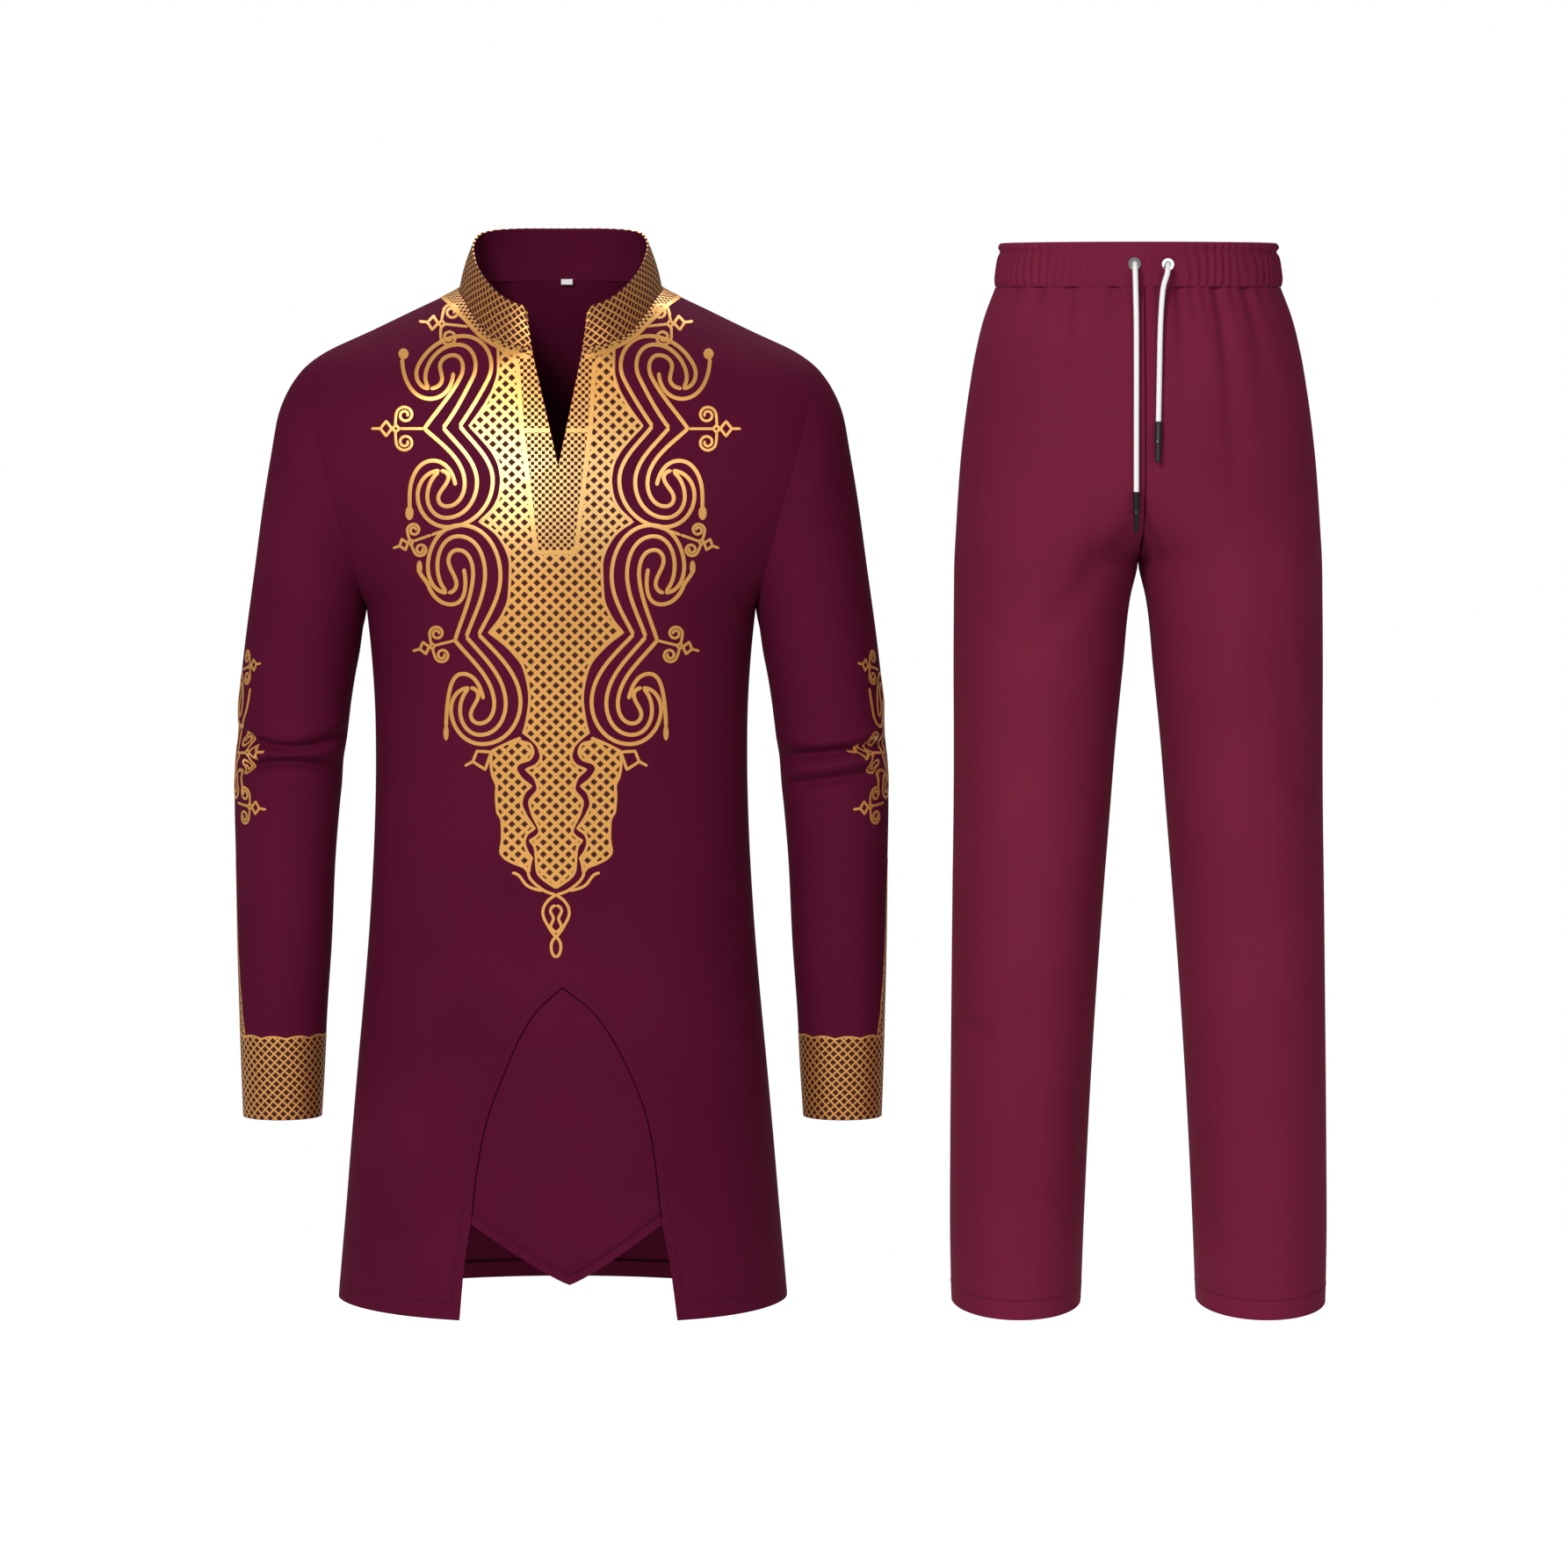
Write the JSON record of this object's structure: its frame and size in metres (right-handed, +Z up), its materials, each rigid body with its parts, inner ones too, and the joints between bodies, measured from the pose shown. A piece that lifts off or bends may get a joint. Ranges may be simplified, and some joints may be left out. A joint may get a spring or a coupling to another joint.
{
  "type": "traditional outfit, long tunic and drawstring trousers",
  "caption": "Hollow worn-form outfit: long tunic with stand collar, V slit and arched front inset, beside loose straight trousers with gathered drawstring waist.",
  "frame": {"origin": "middle of the tunic's neck opening, at the height where the collar meets the shoulders", "axes": "+Z up as worn, -Y towards the front of both garments, +X from the tunic towards the trousers"},
  "size_m": [0.9963, 0.2773, 0.9845],
  "materials": {
    "tunic_cloth": "smooth wine-red cloth with a soft sheen and a gold foil print",
    "printed_cloth": "wine-red cloth printed all over with a gold foil lattice",
    "label_cloth": "plain white woven tape",
    "trouser_cloth": "smooth wine-red cloth with a soft sheen",
    "eyelet_metal": "polished silver-coloured metal",
    "cord_cloth": "white braided cord",
    "tip_plastic": "black moulded plastic"
  },
  "bodies": {
    "root": {"tunic_front": "tunic_cloth", "tunic_back": "tunic_cloth", "tunic_inset": "tunic_cloth", "sleeve_right": "tunic_cloth", "sleeve_left": "tunic_cloth", "collar": "printed_cloth", "neck_label": "label_cloth", "trouser_front_right": "trouser_cloth", "trouser_back_right": "trouser_cloth", "trouser_front_left": "trouser_cloth", "trouser_back_left": "trouser_cloth", "waistband": "trouser_cloth", "eyelet_right": "eyelet_metal", "eyelet_left": "eyelet_metal", "drawcord_right": "cord_cloth", "drawcord_left": "cord_cloth", "cord_tip_right": "tip_plastic", "cord_tip_left": "tip_plastic"}
  },
  "joints": []
}
